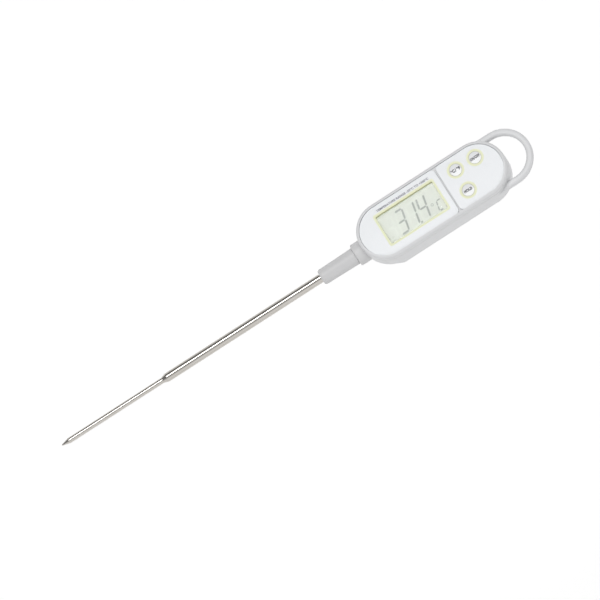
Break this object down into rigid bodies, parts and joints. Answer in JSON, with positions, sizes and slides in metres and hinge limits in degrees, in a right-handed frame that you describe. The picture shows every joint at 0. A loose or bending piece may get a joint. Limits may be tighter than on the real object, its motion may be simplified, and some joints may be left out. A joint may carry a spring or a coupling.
{
  "type": "soil thermometer probe",
  "caption": "Hand-held digital thermometer with a stepped steel probe, a tapered sleeve, a stadium-shaped display housing with push buttons and a hanging loop.",
  "frame": {"origin": "middle of the housing's flat back, with the instrument lying on its back", "axes": "+X along the probe's axis towards the hanging loop, +Z out of the display, +Y towards the side that the display's top edge is on"},
  "size_m": [0.3007, 0.0326, 0.0196],
  "materials": {
    "grey_plastic": "light grey ABS, satin moulded",
    "sleeve_grey": "light grey ABS, fine matt moulded",
    "white_panel": "cool white ABS, glossy",
    "white_button": "white ABS, glossy",
    "white_plastic": "white ABS, matt",
    "black_plastic": "black nylon, matt",
    "yellow_silicone": "pale yellow-green silicone, matt",
    "black_rubber": "black nitrile rubber",
    "pink_rubber": "layered conductive silicone",
    "clear_window": "clear acrylic, polished",
    "lcd_green": "liquid crystal glass with a pale grey-green polariser",
    "silver_film": "silver reflecting film",
    "board_green": "glass-epoxy board with green solder mask",
    "black_resin": "black epoxy drop",
    "white_resin": "filled epoxy",
    "component_ceramic": "chip components",
    "sensor_glass": "glass-coated thermistor bead",
    "lead_insulation": "thin insulated wire",
    "cell_steel": "nickel-plated steel",
    "zinc_steel": "zinc-plated steel",
    "polished_steel": "polished stainless steel"
  },
  "bodies": {
    "housing": {"front_case": "grey_plastic", "loop_frame": "grey_plastic", "back_case": "grey_plastic", "case_seal": "black_rubber", "case_screws": "zinc_steel", "display_panel": "white_panel", "keypad_panel": "white_panel", "display_window": "clear_window", "window_gasket": "yellow_silicone", "lcd_front_glass": "lcd_green", "lcd_rear_glass": "lcd_green", "lcd_reflector": "silver_film", "lcd_holder": "white_plastic", "zebra_connectors": "pink_rubber", "circuit_board": "board_green", "controller_chip": "black_resin", "board_components": "component_ceramic", "tact_switches": "black_plastic", "keypad_membrane": "yellow_silicone", "button_cell": "cell_steel", "battery_contact_negative": "zinc_steel", "battery_contact_positive": "zinc_steel", "probe_collar": "sleeve_grey", "collar_seal": "black_rubber", "probe_sleeve": "sleeve_grey", "probe_tube": "polished_steel", "probe_needle": "polished_steel", "thermistor_bead": "sensor_glass", "thermistor_leads": "lead_insulation", "tip_potting": "white_resin"},
    "unit_key": {"unit_button": "white_button", "unit_plunger": "black_plastic"},
    "power_key": {"power_button": "white_button", "power_plunger": "black_plastic"},
    "hold_key": {"hold_button": "white_button", "hold_plunger": "black_plastic"},
    "cover_ring": {"battery_cover_seal": "black_rubber"},
    "cover": {"battery_cover": "grey_plastic"}
  },
  "joints": [
    {"name": "unit_press", "type": "slide", "parent": "housing", "child": "unit_key", "axis": [0, 0, -1], "range_m": [0, 0.0005], "stiffness_N_per_m": 2000},
    {"name": "power_press", "type": "slide", "parent": "housing", "child": "power_key", "axis": [0, 0, -1], "range_m": [0, 0.0005], "stiffness_N_per_m": 2000},
    {"name": "hold_press", "type": "slide", "parent": "housing", "child": "hold_key", "axis": [0, 0, -1], "range_m": [0, 0.0005], "stiffness_N_per_m": 2000},
    {"name": "cover_lift", "type": "slide", "parent": "housing", "child": "cover_ring", "axis": [0, 0, -1], "range_m": [0, 0.012]},
    {"name": "cover_turn", "type": "hinge", "parent": "cover_ring", "child": "cover", "pos_m": [0.02, 0, 0.0025], "axis": [0, 0, -1], "range_deg": [0, 90]}
  ]
}
